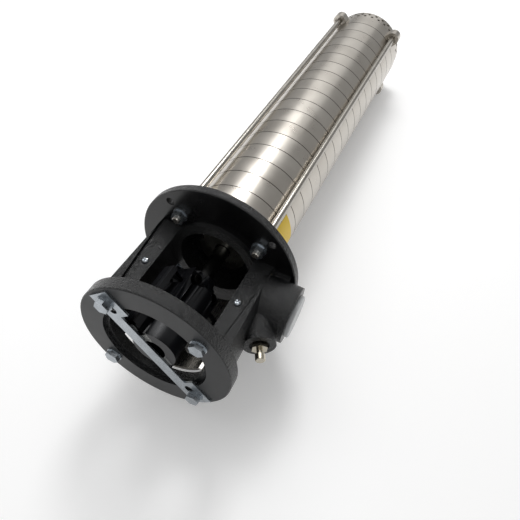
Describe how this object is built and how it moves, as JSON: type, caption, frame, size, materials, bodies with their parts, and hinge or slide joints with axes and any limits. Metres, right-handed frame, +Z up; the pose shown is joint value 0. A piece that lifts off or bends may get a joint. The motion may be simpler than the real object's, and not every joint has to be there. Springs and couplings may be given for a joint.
{
  "type": "immersible multistage pump",
  "caption": "Long tank-top multistage pump without its motor: flanged black head with open coupling bell, side port and a tie-rodded stainless chamber stack.",
  "frame": {"origin": "centre of the seat on the tank flange, on the shaft axis", "axes": "+Y along the shaft towards the suction end, +X out of the discharge port, +Z up as the pump lies in the picture"},
  "size_m": [0.1937, 0.6662, 0.18],
  "materials": {
    "black_cast_iron": "black paint on rough cast iron",
    "port_cap": "grey moulded cap",
    "nickel_brass": "nickel plated",
    "zinc_steel": "bright zinc",
    "coupling_iron": "dark phosphated casting",
    "black_screw_steel": "black oxide",
    "shaft_steel": "ground",
    "seal_steel": "turned",
    "seal_rubber": "moulded",
    "guard_stainless": "rolled sheet",
    "rod_stainless": "drawn",
    "chamber_stainless": "brushed round the shaft",
    "impeller_stainless": "pressed sheet",
    "ring_plastic": "moulded",
    "bush_carbide": "lapped"
  },
  "bodies": {
    "root": {"bearing_bush": "bush_carbide", "discharge_ring": "chamber_stainless", "guard_screws": "zinc_steel", "head_seal_ring": "seal_rubber", "inlet_casing": "chamber_stainless", "motor_bolt_washers": "zinc_steel", "motor_bolts": "zinc_steel", "neck_rings": "ring_plastic", "pump_head": "black_cast_iron", "rear_guard": "guard_stainless", "seal_seat": "seal_steel", "stage_chamber_01": "chamber_stainless", "stage_chamber_02": "chamber_stainless", "stage_chamber_03": "chamber_stainless", "stage_chamber_04": "chamber_stainless", "stage_chamber_05": "chamber_stainless", "stage_chamber_06": "chamber_stainless", "stage_chamber_07": "chamber_stainless", "stage_chamber_08": "chamber_stainless", "stage_chamber_09": "chamber_stainless", "stage_chamber_10": "chamber_stainless", "stage_chamber_11": "chamber_stainless", "stage_chamber_12": "chamber_stainless", "stage_chamber_13": "chamber_stainless", "stage_chamber_14": "chamber_stainless", "stage_chamber_15": "chamber_stainless", "stage_chamber_16": "chamber_stainless", "suction_strainer": "chamber_stainless", "tie_rod_nuts": "zinc_steel", "tie_rod_washers": "zinc_steel", "tie_rods": "rod_stainless", "transit_bracket": "zinc_steel", "vent_plug": "nickel_brass"},
    "rotor": {"pump_shaft": "shaft_steel", "coupling_half_front": "coupling_iron", "coupling_half_rear": "coupling_iron", "coupling_screws": "black_screw_steel", "coupling_pin": "shaft_steel", "seal_head": "seal_steel", "spacer_pipes": "shaft_steel", "shaft_end_nut": "zinc_steel", "impeller_01": "impeller_stainless", "impeller_02": "impeller_stainless", "impeller_03": "impeller_stainless", "impeller_04": "impeller_stainless", "impeller_05": "impeller_stainless", "impeller_06": "impeller_stainless", "impeller_07": "impeller_stainless", "impeller_08": "impeller_stainless", "impeller_09": "impeller_stainless", "impeller_10": "impeller_stainless", "impeller_11": "impeller_stainless", "impeller_12": "impeller_stainless", "impeller_13": "impeller_stainless", "impeller_14": "impeller_stainless", "impeller_15": "impeller_stainless", "impeller_16": "impeller_stainless"},
    "bleed_spindle": {"vent_spindle": "nickel_brass"},
    "port_cap": {"port_cover": "port_cap"}
  },
  "joints": [
    {"name": "rotor_spin", "type": "hinge", "parent": "root", "child": "rotor", "pos_m": [0, 0, 0], "axis": [0, 1, 0], "continuous": true},
    {"name": "bleed_spindle_turn", "type": "hinge", "parent": "root", "child": "bleed_spindle", "pos_m": [0.0845, -0.082, 0], "axis": [0.4695, -0.8829, 0], "range_deg": [0, 540]},
    {"name": "port_cap_pull", "type": "slide", "parent": "root", "child": "port_cap", "axis": [1, 0, 0], "range_m": [0, 0.04]}
  ]
}
